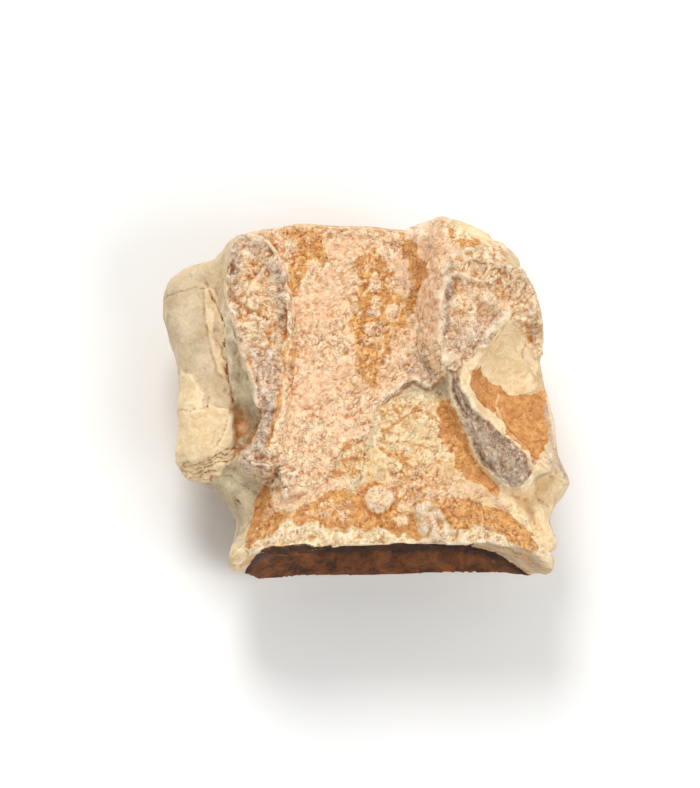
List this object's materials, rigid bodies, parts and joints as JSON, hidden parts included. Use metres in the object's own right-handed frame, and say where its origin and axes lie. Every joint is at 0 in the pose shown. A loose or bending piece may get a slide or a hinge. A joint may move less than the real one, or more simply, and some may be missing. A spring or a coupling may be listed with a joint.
{
  "type": "fossil oreodont vertebra",
  "caption": "Fossil neck vertebra of an oreodont with its neural arch broken away, rock crust on the open canal floor and siltstone in its artery canals.",
  "frame": {"origin": "on the surface it rests on, under the middle of its bounding box", "axes": "+X towards the animal's right side, +Y towards its head, +Z towards its back"},
  "size_m": [0.0302, 0.0266, 0.0153],
  "materials": {
    "bone": "permineralised bone, pale buff to ochre with iron staining, matte",
    "canal_crust": "pink nodular siltstone crust, pitted and matte",
    "siltstone": "greenish grey to buff siltstone, fine and matte"
  },
  "bodies": {
    "root": {"bone": "bone", "canal_crust": "canal_crust", "siltstone_left": "siltstone", "siltstone_right": "siltstone"}
  },
  "joints": []
}
